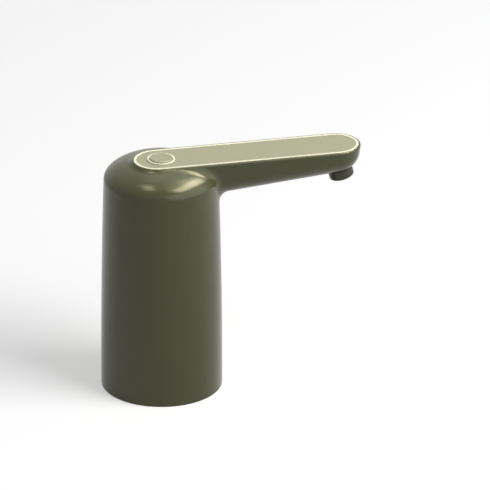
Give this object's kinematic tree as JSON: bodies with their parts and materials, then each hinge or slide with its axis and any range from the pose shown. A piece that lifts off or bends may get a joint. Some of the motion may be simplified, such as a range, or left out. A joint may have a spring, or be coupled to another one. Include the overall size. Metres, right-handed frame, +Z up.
{
  "type": "electric camping tap",
  "caption": "Battery-driven camping tap: a round body with a neck socket below, a push button on top and a long spout arm with a downward nozzle.",
  "frame": {"origin": "centre of the base rim, on the body's axis, at the level the body stands on", "axes": "+Z up along the body's axis, +X along the spout arm towards the nozzle"},
  "size_m": [0.1478, 0.068, 0.1381],
  "materials": {
    "olive_shell": "satin olive green moulding",
    "olive_rubber": "satin olive green rubber",
    "khaki_panel": "satin metallic khaki",
    "pale_trim": "glossy pale cream",
    "button_face": "satin metallic khaki",
    "dark_nozzle": "dark olive plastic",
    "grey_silicone": "matt silicone",
    "dark_plastic": "matt moulding",
    "black_rubber": "matt",
    "clear_silicone": "milky silicone",
    "frame_plastic": "natural moulding",
    "pump_plastic": "black moulding",
    "gear_plastic": "natural acetal",
    "cell_wrap": "shrink wrap",
    "nickel": "nickel plate",
    "circuit_board": "solder mask",
    "switch_black": "moulded",
    "steel": "ground",
    "zinc_steel": "zinc plate",
    "magnet": "sintered ferrite",
    "iron_core": "laminated iron",
    "copper": "copper",
    "bronze": "sintered bronze",
    "graphite": "graphite and brass",
    "screw_steel": "zinc plate",
    "lead_red": "wire insulation",
    "lead_black": "wire insulation",
    "lead_white": "wire insulation"
  },
  "bodies": {
    "housing": {"main_housing": "olive_shell", "top_panel": "khaki_panel", "panel_trim": "pale_trim", "panel_gasket": "black_rubber", "button_ring": "pale_trim", "button_dome": "clear_silicone", "switch_bracket": "frame_plastic", "bracket_screws": "screw_steel", "button_board": "circuit_board", "button_switch": "switch_black", "nozzle": "dark_nozzle", "nozzle_seal": "black_rubber", "spout_elbow": "pump_plastic", "outlet_hose": "clear_silicone", "hose_clips": "steel", "chassis": "frame_plastic", "chassis_screws": "screw_steel", "battery_cell": "cell_wrap", "battery_holder": "frame_plastic", "cell_tabs": "nickel", "main_board": "circuit_board", "board_screws": "screw_steel", "charge_socket": "nickel", "cover_pin": "steel", "motor_can": "zinc_steel", "motor_magnets": "magnet", "motor_bushes": "bronze", "motor_end_cap": "pump_plastic", "motor_brushes": "graphite", "motor_screws": "screw_steel", "pump_body": "pump_plastic", "pump_gasket": "black_rubber", "pump_cover": "pump_plastic", "pump_screws": "screw_steel", "idler_pin": "steel", "shaft_seal": "black_rubber", "base_plate": "dark_plastic", "inlet_seal": "black_rubber", "neck_liner": "grey_silicone", "base_screws": "screw_steel", "motor_leads": "lead_red", "cell_leads": "lead_black", "button_lead": "lead_white"},
    "button": {"button_cap": "button_face", "switch_plunger": "gear_plastic"},
    "pump_drive": {"motor_shaft": "steel", "motor_armature": "iron_core", "motor_windings": "copper", "motor_commutator": "copper", "drive_gear": "gear_plastic"},
    "pump_idler": {"driven_gear": "gear_plastic"},
    "port_flap": {"port_cover": "olive_rubber"}
  },
  "joints": [
    {"name": "button_press", "type": "slide", "parent": "housing", "child": "button", "axis": [0, 0, -1], "range_m": [0, 0.0006], "stiffness_N_per_m": 5000, "deforming": ["button_dome"]},
    {"name": "pump_spin", "type": "hinge", "parent": "housing", "child": "pump_drive", "pos_m": [0.0055, 0.005, 0.0446], "axis": [0, 0, 1], "continuous": true},
    {"name": "idler_spin", "type": "hinge", "parent": "housing", "child": "pump_idler", "pos_m": [0.0055, -0.005, 0.032], "axis": [0, 0, 1], "continuous": true},
    {"name": "port_cover_hinge", "type": "hinge", "parent": "housing", "child": "port_flap", "pos_m": [-0.02828, 0.01633, 0.0642], "axis": [0.5, 0.866, 0], "range_deg": [0, 90]}
  ],
  "couplings": [
    {"joint": "idler_spin", "follows": "pump_spin", "ratio": -1}
  ]
}
